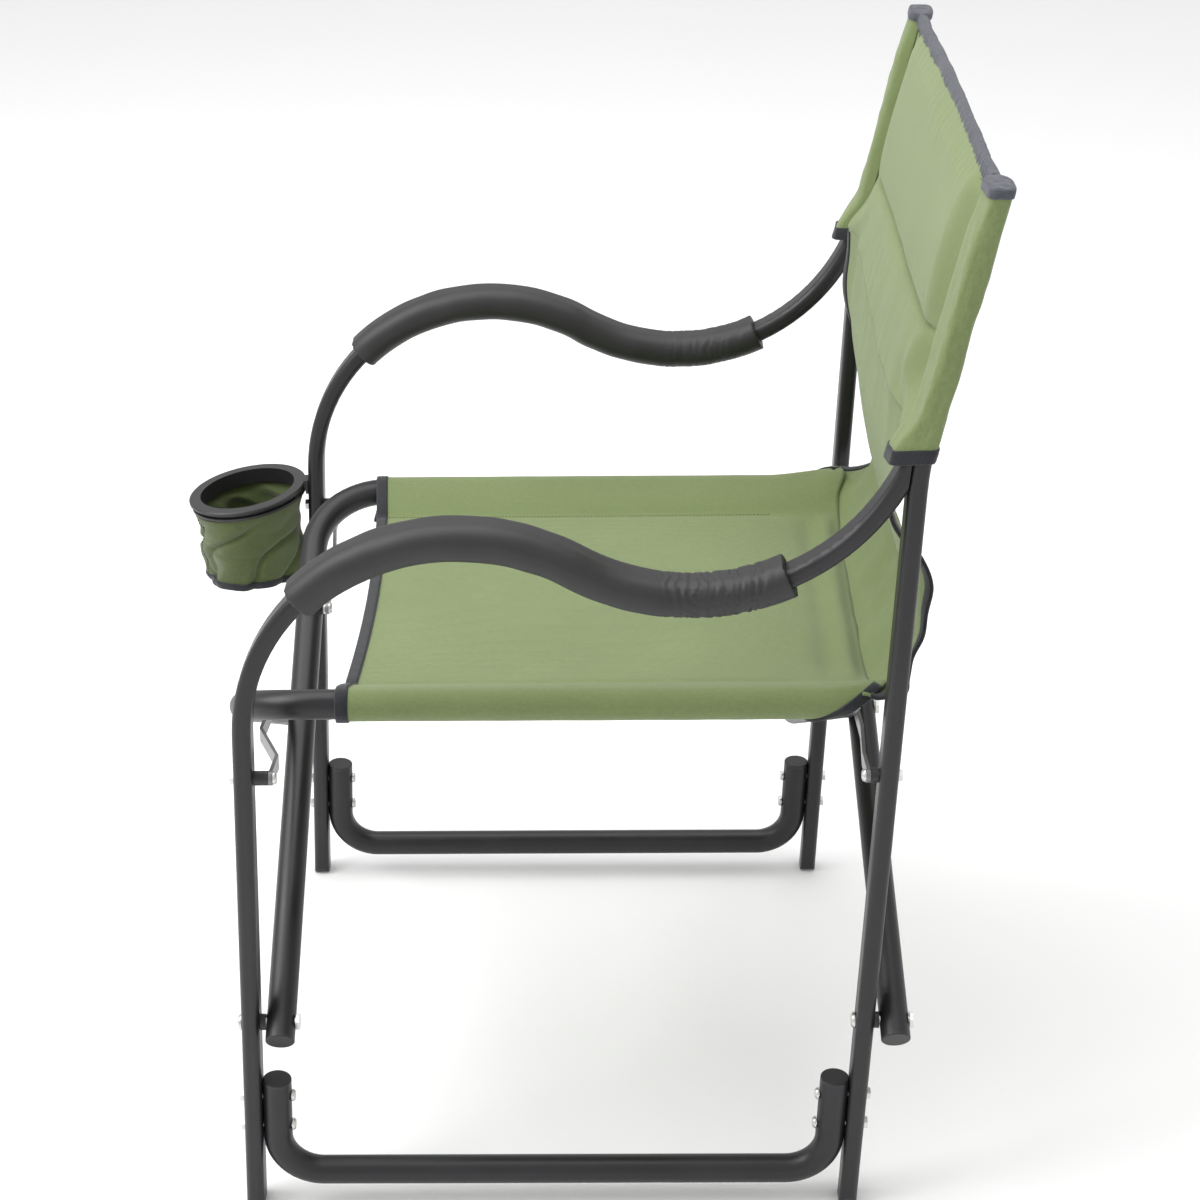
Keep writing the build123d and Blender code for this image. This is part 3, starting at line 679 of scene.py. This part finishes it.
def make_seat():
    """One cloth from under one rail, over it and across to under the other, with its tapes."""
    last = 2 * LOOP_STEPS + SEAT_CROSS
    grid = [[seat_point(k, j / SEAT_ROWS) for j in range(SEAT_ROWS + 1)] for k in range(last + 1)]
    seat = sheet_piece("seat_cloth", grid)
    pieces = [seat]
    front_edge = [column[0] for column in grid]
    front_inner = [column[3] for column in grid]
    pieces.append(binding("seat_front_tape", front_edge, front_inner, width=0.0100, thick=0.0034))
    left_columns = range(0, LOOP_STEPS - 1)
    right_columns = range(last, last - LOOP_STEPS + 1, -1)
    for side, columns in (("left", left_columns), ("right", right_columns)):
        edge = [grid[k][-1] for k in columns]
        inner = [grid[k][-4] for k in columns]
        pieces.append(binding(f"seat_{side}_rear_tape", edge, inner))
    up = Vector((0, 0, 1))
    for side, sign in (("left", 1), ("right", -1)):
        path = []
        for j in range(60):
            y = lerp(SEAT_FRONT_Y + 0.004, STITCH_END_Y, j / 59)
            path.append(at(sign * STITCH_X, y, seat_height(STITCH_X, y) + 0.0009))
        pieces.append(stitches(f"seat_{side}_stitches", path, up))
    on_tape = Vector((0, 0.0084, 0.0020))
    hem = [seat_point(k, 0.0) + on_tape for k in range(LOOP_STEPS, LOOP_STEPS + SEAT_CROSS + 1)]
    pieces.append(stitches("seat_front_stitches", hem, up, DARK_THREAD))
    mount_on_halves(pieces, "seat_left", "seat_right")
    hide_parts("left_seat_half", "right_seat_half")


# ---- back ----------------------------------------------------------------------------
SIDE_SEAM_X = 0.2475                # seam between the back and its sleeve
BACK_LOW = 0.722
BACK_HIGH = 0.9185
BACK_DISH = 0.0030                  # depth of the dish in the middle
SEAM_Z = 0.786                      # seam across the back, in the middle
SEAM_TILT = 0.005                   # its rise at the left edge
SEAM_BAND = 0.006                   # finer rows this far either side of it
BACK_COLUMNS = 150
TOP_TAPE_POINTS = 420


def post_y(z):
    """Middle of the upper post, in the chair's frame."""
    return POST_TOP_Y - (POST_TOP_Z - z) * POST_SLOPE


def back_dish(x):
    """How far the back lies behind its sides at x."""
    return BACK_DISH * (1 - (x / SIDE_SEAM_X) ** 2)


def back_depth(x, z):
    """How far the padded front stands before the plane of the posts."""
    across = abs(x) / SIDE_SEAM_X
    seam_z = SEAM_Z + SEAM_TILT * x / SIDE_SEAM_X
    upper = smooth_step(z, seam_z - 0.0015, seam_z + 0.0015)
    low_part = min(1, max(0, (z - BACK_LOW) / (seam_z - BACK_LOW)))
    high_part = min(1, max(0, (z - seam_z) / (BACK_HIGH - seam_z)))
    crown_low = 0.0120 + 0.0085 * (1 - low_part**5)
    crown_high = 0.0105 + 0.0080 * math.sin(math.pi * high_part**0.75) ** 0.6
    depth = lerp(crown_low, crown_high, upper)
    # fuller towards the sitter's left, as the filling has shifted
    depth *= lerp(0.66, 1.0, smooth_step(x, -SIDE_SEAM_X, 0.16))
    depth *= 1 - 0.12 * across**2
    depth -= 0.0032 * math.exp(-((z - seam_z) / 0.0022) ** 2)
    # soft upright streaks under the seam, short gathers under the top tape
    below = (1 - upper) * smooth_step(seam_z - z, 0.002, 0.022)
    depth += below * 0.0017 * wobble(x * 52, z * 7, 2.5)
    gathers = smooth_step(z, BACK_HIGH - 0.055, BACK_HIGH - 0.006)
    depth += gathers * 0.0021 * wobble(x * 95 + z * 30, z * 12, 7.1)
    depth += 0.0012 * wobble(x * 13, z * 13, 1.7)
    depth *= lerp(1.0, 0.45, smooth_step(z, BACK_HIGH - 0.022, BACK_HIGH))
    depth = 0.0008 + depth * (1 - smooth_step(across, 0.80, 0.965))
    # the sleeve's wide bottom pulls the corners forward in folds
    corner = smooth_step(across, 0.45, 0.98) * (1 - smooth_step(z, BACK_LOW, BACK_LOW + 0.050))
    fold = math.sin(110 * (abs(x) * 0.75 + z * 0.95))
    depth = lerp(depth, 0.0135 + 0.0030 * fold, corner)
    return depth


def back_places():
    """Columns' X and rows' Z of the back, finer beside the sleeves and across the seam."""
    xs = []
    for i in range(BACK_COLUMNS + 1):
        share = i / BACK_COLUMNS * 2 - 1
        xs.append(SIDE_SEAM_X * math.sin(share * math.pi / 2) * 0.35 + SIDE_SEAM_X * share * 0.65)
    band_low, band_high = SEAM_Z - SEAM_BAND, SEAM_Z + SEAM_BAND
    heights = [lerp(BACK_LOW, band_low, j / 44) for j in range(44)]
    heights += [lerp(band_low, band_high, j / 20) for j in range(20)]
    heights += [lerp(band_high, BACK_HIGH, j / 76) for j in range(77)]
    return xs, heights


def back_columns(x, heights):
    """The padded front and the slack rear of the back at x."""
    front, rear = [], []
    dish = back_dish(x)
    for height in heights:
        near_seam = 1 - smooth_step(abs(height - SEAM_Z), 0.008, 0.045)
        z = height + SEAM_TILT * x / SIDE_SEAM_X * near_seam
        front.append(at(x, post_y(z) - back_depth(x, z) + dish, z + 0.001))
        share = (z - BACK_LOW) / (BACK_HIGH - BACK_LOW)
        sag = (1 - (x / SIDE_SEAM_X) ** 2) * math.sin(math.pi * min(1, max(0, share)))
        slack = 0.0011 * wobble(x * 16, z * 20, 5.5) + 0.0022 * sag
        rear.append(at(x, post_y(z) + 0.0015 + slack * 0.6 + dish, z))
    return front, rear


def closed_faces(count, rows):
    """Faces of a front grid, the matching rear grid stored after it, and the rim between them."""
    offset = count * rows
    faces = grid_faces(count, rows)
    faces += [tuple(reversed(face)) for face in grid_faces(count, rows, start=offset)]
    for i in range(count - 1):
        a, b = i * rows, (i + 1) * rows
        faces.append((b, a, a + offset, b + offset))
        a, b = a + rows - 1, b + rows - 1
        faces.append((a, b, b + offset, a + offset))
    for j in range(rows - 1):
        faces.append((j, j + 1, j + 1 + offset, j + offset))
        a = (count - 1) * rows + j
        faces.append((a + 1, a, a + offset, a + 1 + offset))
    return faces


def back_top_tape(front, rear, down):
    """Gathered tape over the top edge, on a line halfway between the front and the rear."""
    count = len(front)
    line = []
    for k in range(TOP_TAPE_POINTS + 1):
        place = k / TOP_TAPE_POINTS * (count - 1)
        i = min(int(place), count - 2)
        a, b = [front[n][-1].lerp(rear[n][-1], 0.5) for n in (i, i + 1)]
        wave = 0.0011 * wobble(k * 0.045, 0.5, 9.3)
        line.append(a.lerp(b, place - i) + Vector((0, 0, 0.0026 + wave)))
    inner = [p + down * 0.01 for p in line]
    return binding("back_top_tape", line, inner, TAPE_TOP, width=0.0108, thick=0.0074, gather=0.30)


def make_back():
    """The padded back between its two sleeves."""
    xs, heights = back_places()
    columns = [back_columns(x, heights) for x in xs]
    front = [pair[0] for pair in columns]
    rear = [pair[1] for pair in columns]
    points = [p for column in front + rear for p in column]
    back = make_piece("back_panel", points, closed_faces(len(xs), len(heights)), GREEN)
    down = Vector((0, -POST_SLOPE, -1)).normalized()
    tape = back_top_tape(front, rear, down)
    on_tape = down * 0.0098 + Vector((0, -0.0016, 0))
    hem = [column[-1] + on_tape for column in front[2:-2]]
    face_way = Vector((0, -1, POST_SLOPE)).normalized()
    hem_stitches = stitches("back_top_stitches", hem, face_way, DARK_THREAD)
    mount_on_halves([back, tape, hem_stitches], "back_left", "back_right")
    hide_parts("left_back_half", "right_back_half", "left_back_pad", "right_back_pad")


# ---- tail ----------------------------------------------------------------------------
# keys up the tail: (share of the way up, Y, Z), (share, half width), (share, right and left flare)
TAIL_PATH = (
    (0.00, 0.2630, 0.4704), (0.07, 0.2790, 0.4715), (0.16, 0.2940, 0.4850), (0.25, 0.3030, 0.5040),
    (0.34, 0.3065, 0.5270), (0.50, 0.2990, 0.5670), (0.68, 0.2880, 0.6180), (0.86, 0.2790, 0.6800),
    (1.00, 0.2800, 0.7260),
)
TAIL_HALF = (
    (0.00, 0.2330), (0.12, 0.2360), (0.25, 0.2440), (0.40, 0.2500), (0.52, 0.2500), (0.64, 0.2440),
    (0.74, 0.2330), (0.86, 0.2410), (1.00, 0.2455),
)
TAIL_FLARE = (
    (0.00, -0.004, 0.004), (0.12, -0.009, 0.012), (0.18, -0.001, 0.018), (0.25, -0.006, 0.022),
    (0.33, -0.009, 0.022), (0.42, 0.001, 0.018), (0.50, 0.007, 0.015), (0.585, 0.015, 0.012),
    (0.66, 0.010, 0.006), (0.70, -0.002, 0.001), (0.75, -0.009, -0.003), (0.86, -0.010, -0.008),
    (1.00, 0.000, 0.000),
)
TAIL_COLUMNS = 130
TAIL_ROWS = 110
TAIL_FOOT_Z = 0.4708                # height that the path's lower end is drawn for


def tail_point(side_share, t):
    """side_share runs from -1 at the right edge to 1 at the left one; t runs up the tail."""
    y, z = spline(TAIL_PATH, t)
    half = spline(TAIL_HALF, t)[0]
    flare = spline(TAIL_FLARE, t)[0 if side_share > 0 else 1]
    x = side_share * half
    across = abs(side_share)
    y += flare * across ** (7 if side_share > 0 else 15)
    y -= 0.0095 * (1 - across**2) * smooth_step(t, 0.30, 0.55)
    y += 0.0060 * (1 - across**2) * math.sin(math.pi * min(1.0, t / 0.5))
    # the foot follows the seat's rear edge
    seat_gap = seat_top(max(-RAIL_X, min(RAIL_X, x)), VALLEY_Y) - TAIL_FOOT_Z
    seat_gap += 0.004 * smooth_step(abs(x), STITCH_X, RAIL_X) - 0.0010
    z += seat_gap * (1 - smooth_step(t, 0.0, 0.20))
    # upright folds out of the valley, fading upwards
    low = (1 - smooth_step(t, 0.10, 0.62)) * smooth_step(t, 0.0, 0.10)
    y += low * 0.0075 * (wobble(x * 14, t * 3.2, 3.3) + 0.5 * wobble(x * 30, t * 4, 8.8))
    y += 0.0032 * wobble(x * 11, z * 9, 6.6) * smooth_step(t, 0.1, 0.3)
    # the top lies just behind the lower edge of the back's front
    edge_z = BACK_LOW + 0.002
    inside = math.copysign(min(0.98 * SIDE_SEAM_X, abs(x)), x)
    edge_y = post_y(edge_z) - back_depth(inside, edge_z) + back_dish(x) + 0.0007
    return at(x, lerp(y, edge_y, smooth_step(t, 0.72, 0.97)), z)


def make_tail():
    """The loose sheet from the seat's rear edge up to the back."""
    grid = []
    for i in range(TAIL_COLUMNS + 1):
        share = i / TAIL_COLUMNS * 2 - 1
        grid.append([tail_point(share, j / TAIL_ROWS) for j in range(TAIL_ROWS + 1)])
    tail = sheet_piece("back_tail", grid)
    pieces = [tail]
    for side, column, inner in (("right", grid[0], grid[2]), ("left", grid[-1], grid[-3])):
        name = f"back_tail_{side}_tape"
        pieces.append(binding(name, column[4:-2], inner[4:-2], width=0.009, thick=0.0034))
    mount_on_halves(pieces, "back_left", "back_right")
    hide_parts("left_back_tail", "right_back_tail")


# ---- sleeves of the back -------------------------------------------------------------
# (outwards from the post's middle, rearwards), round the post from the front seam to the rear one
SLEEVE_ROUND = (
    (-0.0225, -0.0015), (-0.0205, -0.0050), (-0.0180, -0.0088), (-0.0150, -0.0112), (-0.0110, -0.0124),
    (-0.0060, -0.0123), (0.0010, -0.0112), (0.0070, -0.0105), (0.0110, -0.0098), (0.0133, -0.0078),
    (0.0142, -0.0045), (0.0144, 0.0), (0.0142, 0.0042), (0.0133, 0.0072), (0.0105, 0.0090),
    (0.0060, 0.0094), (0.0, 0.0094), (-0.0070, 0.0092), (-0.0130, 0.0080), (-0.0180, 0.0055),
    (-0.0225, 0.0020),
)
SLEEVE_COLUMNS = 64
SLEEVE_ROWS = 90
SLEEVE_LOW = 0.711
CAP_RINGS = 7                       # rings of the cloth that closes the top


def sleeve_outline():
    """The sleeve's outline as smooth points."""
    keys = [(i / (len(SLEEVE_ROUND) - 1), *p) for i, p in enumerate(SLEEVE_ROUND)]
    return [spline(keys, k / (SLEEVE_COLUMNS - 1)) for k in range(SLEEVE_COLUMNS)]


def sleeve_column(k, out, rear, sign):
    """Column k of the sleeve, upwards; it widens to the front at its foot and pinches at its top."""
    column = []
    frontness = smooth_step(-rear, -0.002, 0.0105)
    for j in range(SLEEVE_ROWS + 1):
        share = j / SLEEVE_ROWS
        z = lerp(SLEEVE_LOW - 0.003 * frontness, BACK_HIGH + 0.001, share)
        spread = 1 - smooth_step(z, SLEEVE_LOW, SLEEVE_LOW + 0.042)
        y = rear - frontness * 0.0125 * spread
        x = out * (1 - 0.34 * spread * frontness) + (0.0012 * spread if out > 0 else 0)
        fade = smooth_step(share, 0.0, 0.1) * (1 - smooth_step(share, 0.93, 1.0))
        pinch = smooth_step(z, BACK_HIGH - 0.040, BACK_HIGH)
        y *= lerp(1.0, 0.76 if rear < 0 else 0.92, pinch)
        soft = 0.0009 * wobble(k * 0.07, z * 24, sign * 3.1) * fade
        soft += 0.0006 * wobble(k * 0.25, z * 70, sign * 5.7) * fade
        x += soft
        y += soft * (1 if rear > 0 else -1)
        column.append(at(sign * (POST_X + x), post_y(z) + y, z))
    return column


def sleeve_cap(name, edge, centre):
    """Folded-over cloth that closes the sleeve's top, in rings from its edge to the middle."""
    points = []
    for r in range(CAP_RINGS):
        inset = 1 - r / CAP_RINGS
        for p in edge:
            flat = centre.lerp(p, inset)
            crease = 0.0011 * wobble(flat.x * 160, flat.y * 160, 4.0) * min(1, r)
            z = lerp(edge[0].z, p.z, inset) + 0.0004 + crease
            points.append(Vector((flat.x, flat.y, z)))
    count = len(edge)
    last = (CAP_RINGS - 1) * count
    faces = []
    for ring in range(0, last, count):
        for k in range(count):
            a, b = ring + k, ring + (k + 1) % count
            faces.append((a, b, b + count, a + count))
    faces.append(tuple(last + k for k in range(count)))
    cap = make_piece(name, points, faces, TAPE_TOP)
    thicken(cap, DOUBLE_CLOTH)
    return cap


def make_back_sleeve(side, sign):
    """The flat sleeve round one post, with its foot tape and its closed top."""
    grid = [sleeve_column(k, out, rear, sign) for k, (out, rear) in enumerate(sleeve_outline())]
    if sign < 0:
        grid = grid[::-1]
    sleeve = sheet_piece(f"{side}_sleeve_cloth", grid)
    low_edge = [column[0] - Vector((0, 0, 0.0010)) for column in grid]
    low_inner = [column[5] for column in grid]
    low_tape = binding(f"{side}_sleeve_low_tape", low_edge, low_inner, width=0.0108, thick=0.0036)
    top_edge = [column[-1] + Vector((0, 0, 0.0018)) for column in grid]
    top_inner = [column[-4] for column in grid]
    top_tape = binding(f"{side}_sleeve_top_tape", top_edge, top_inner, TAPE_TOP,
                       width=0.0066, thick=0.0040, gather=0.22)
    centre = at(sign * POST_X, post_y(BACK_HIGH), BACK_HIGH)
    cap = sleeve_cap(f"{side}_sleeve_top_cloth", top_edge, centre)
    for piece in (sleeve, low_tape, top_tape, cap):
        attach(piece, f"{side}_side")
    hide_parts(f"{side}_back_sleeve")


# ---- cup bag -------------------------------------------------------------------------
CUP_COLUMNS = 160
CUP_ROWS = 60
CUP_RINGS = 14                      # rings of the bottom cloth
CUP_LIFT = 0.006                    # the bottom edge above the CAD bag's underside
CUP_SEAM = math.radians(-62)
BAG_LOW, BAG_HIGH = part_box("cup_bag")
BAG_MIDDLE = (BAG_LOW + BAG_HIGH) / 2
BAG_R = (BAG_HIGH.x - BAG_LOW.x) / 2
RING_LOW, RING_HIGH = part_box("cup_ring")


def cup_crease(angle, share, round_scale, down_scale, seed, sharp):
    """1 on the bottom of a slanting crease of the bag's side, 0 away from it."""
    x, y = math.cos(angle) * round_scale, math.sin(angle) * round_scale
    return max(0.0, 1 - abs(wobble(x, y, share * down_scale + seed)) * sharp) ** 1.3


def cup_point(angle, share, inset=0.0):
    """Point of the bag's side; share runs down from the ring to the bottom edge."""
    radius = lerp(BAG_R + 0.0022, BAG_R - 0.0003, share) - inset
    fade = smooth_step(share, 0.02, 0.25)
    ring = Vector((math.cos(angle) * 1.3, math.sin(angle) * 1.3, share * 1.6))
    radius += fade * 0.0060 * (noise.noise(ring * 0.8 + Vector((0, 0, 4.4))) - 0.35)
    radius -= fade * 0.0050 * cup_crease(angle + share * 1.5, share, 1.1, 2.2, 7, 3.4)
    radius -= fade * 0.0014 * cup_crease(angle - share * 1.1, share, 1.3, 1.8, 31, 4.2)
    # the ring is tilted, so the cloth starts higher at its rear
    top = lerp(RING_LOW.z, RING_HIGH.z, 0.5 + 0.36 * math.sin(angle)) - 0.003
    z = lerp(top, BAG_LOW.z + CUP_LIFT, share) + 0.0012 * noise.noise(ring * 2) * share
    return Vector((BAG_MIDDLE.x + radius * math.cos(angle), BAG_MIDDLE.y + radius * math.sin(angle), z))


def cup_bottom_point(edge, inset):
    """Point of the bottom cloth at inset of the way out from its middle to an edge point."""
    x = lerp(BAG_MIDDLE.x, edge.x, inset)
    y = lerp(BAG_MIDDLE.y, edge.y, inset)
    pucker = 0.0014 * wobble(x * 60, y * 60, 2.2) * (1 - inset**4)
    return Vector((x, y, lerp(BAG_LOW.z + CUP_LIFT + 0.001, edge.z, inset**3) + pucker))


def make_cup_bag():
    """The wrinkled cloth cup under its ring, with its bottom, tape and side seam."""
    angles = [2 * math.pi * k / CUP_COLUMNS for k in range(CUP_COLUMNS)]
    side = [[cup_point(a, j / CUP_ROWS) for j in range(CUP_ROWS + 1)] for a in angles]
    rows = CUP_ROWS + 1
    points = [p for column in side for p in column]
    faces = [tuple(reversed(face)) for face in grid_faces(CUP_COLUMNS, rows, closed=True)]
    outer = [k * rows + CUP_ROWS for k in range(CUP_COLUMNS)]
    for r in range(1, CUP_RINGS):
        ring = range(len(points), len(points) + CUP_COLUMNS)
        points += [cup_bottom_point(column[-1], 1 - r / CUP_RINGS) for column in side]
        for k in range(CUP_COLUMNS):
            n = (k + 1) % CUP_COLUMNS
            faces.append((outer[k], ring[k], ring[n], outer[n]))
        outer = ring
    faces.append(tuple(outer))
    bag = make_piece("cup_cloth", points, faces, CUP_GREEN)
    thicken(bag, DOUBLE_CLOTH, -1.0)
    edge = [column[-1] + Vector((0, 0, -0.0012)) for column in side]
    inner = [column[-4] for column in side]
    tape = binding("cup_low_tape", edge, inner, width=0.0062, thick=0.0040, closed=True)
    seam = [cup_point(CUP_SEAM, j / 30, -0.0004) for j in range(1, 29)]
    out = Vector((math.cos(CUP_SEAM), math.sin(CUP_SEAM), 0))
    seam_stitches = stitches("cup_seam_stitches", seam, out)
    for piece in (bag, tape, seam_stitches):
        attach(piece, "right_side")
    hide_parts("cup_bag")


# ---- arm foam ------------------------------------------------------------------------
FOAM_VOXEL = 0.0016
WRINKLE_START = 0.085               # Y range of the crushed, wrinkled part
WRINKLE_END = 0.190
WRINKLE_DEPTH = {"left": 0.0013, "right": 0.000455}


def foam_push(p, depth):
    """How far the foam's skin stands out at p: soft waves, and wrinkles near the rear end."""
    y = p.y - SHIFT_Y
    push = 0.0006 * wobble(p.x * 45, p.y * 45, p.z * 45)
    zone = smooth_step(y, WRINKLE_START, WRINKLE_START + 0.03)
    zone *= 1 - smooth_step(y, WRINKLE_END - 0.02, WRINKLE_END)
    bend = y * 300 + 1.6 * wobble(p.x * 60, y * 40, p.z * 60)
    lines = abs(wobble(bend, p.z * 14, p.x * 14))
    return push - depth * zone * max(0.0, 1 - lines * 3.2)


def make_foam(side):
    """Foam sleeve: the CAD sleeve's shape with a soft skin, its rear part wrinkled."""
    node = frame["nodes"][f"{side}_arm_foam"]
    piece = bpy.data.objects.new(f"{side}_arm_pad", node.data.copy())
    bpy.context.scene.collection.objects.link(piece)
    piece.matrix_world = node.matrix_world.copy()
    bpy.context.view_layer.update()
    piece.data.transform(piece.matrix_world)
    piece.matrix_world = Matrix.Identity(4)
    remesh = piece.modifiers.new("remesh", "REMESH")
    remesh.mode = "VOXEL"
    remesh.voxel_size = FOAM_VOXEL
    apply_modifiers(piece)
    mesh = piece.data
    mesh.materials.clear()
    mesh.materials.append(FOAM)
    normals = [v.normal.copy() for v in mesh.vertices]
    for vertex, normal in zip(mesh.vertices, normals):
        vertex.co += normal * foam_push(vertex.co, WRINKLE_DEPTH[side])
    for polygon in mesh.polygons:
        polygon.use_smooth = True
    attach(piece, f"{side}_side")
    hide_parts(f"{side}_arm_foam")


# ---- the whole scene -----------------------------------------------------------------
make_floor()
make_light()
make_seat()
make_tail()
make_back()
make_back_sleeve("left", 1)
make_back_sleeve("right", -1)
make_cup_bag()
make_foam("left")
make_foam("right")
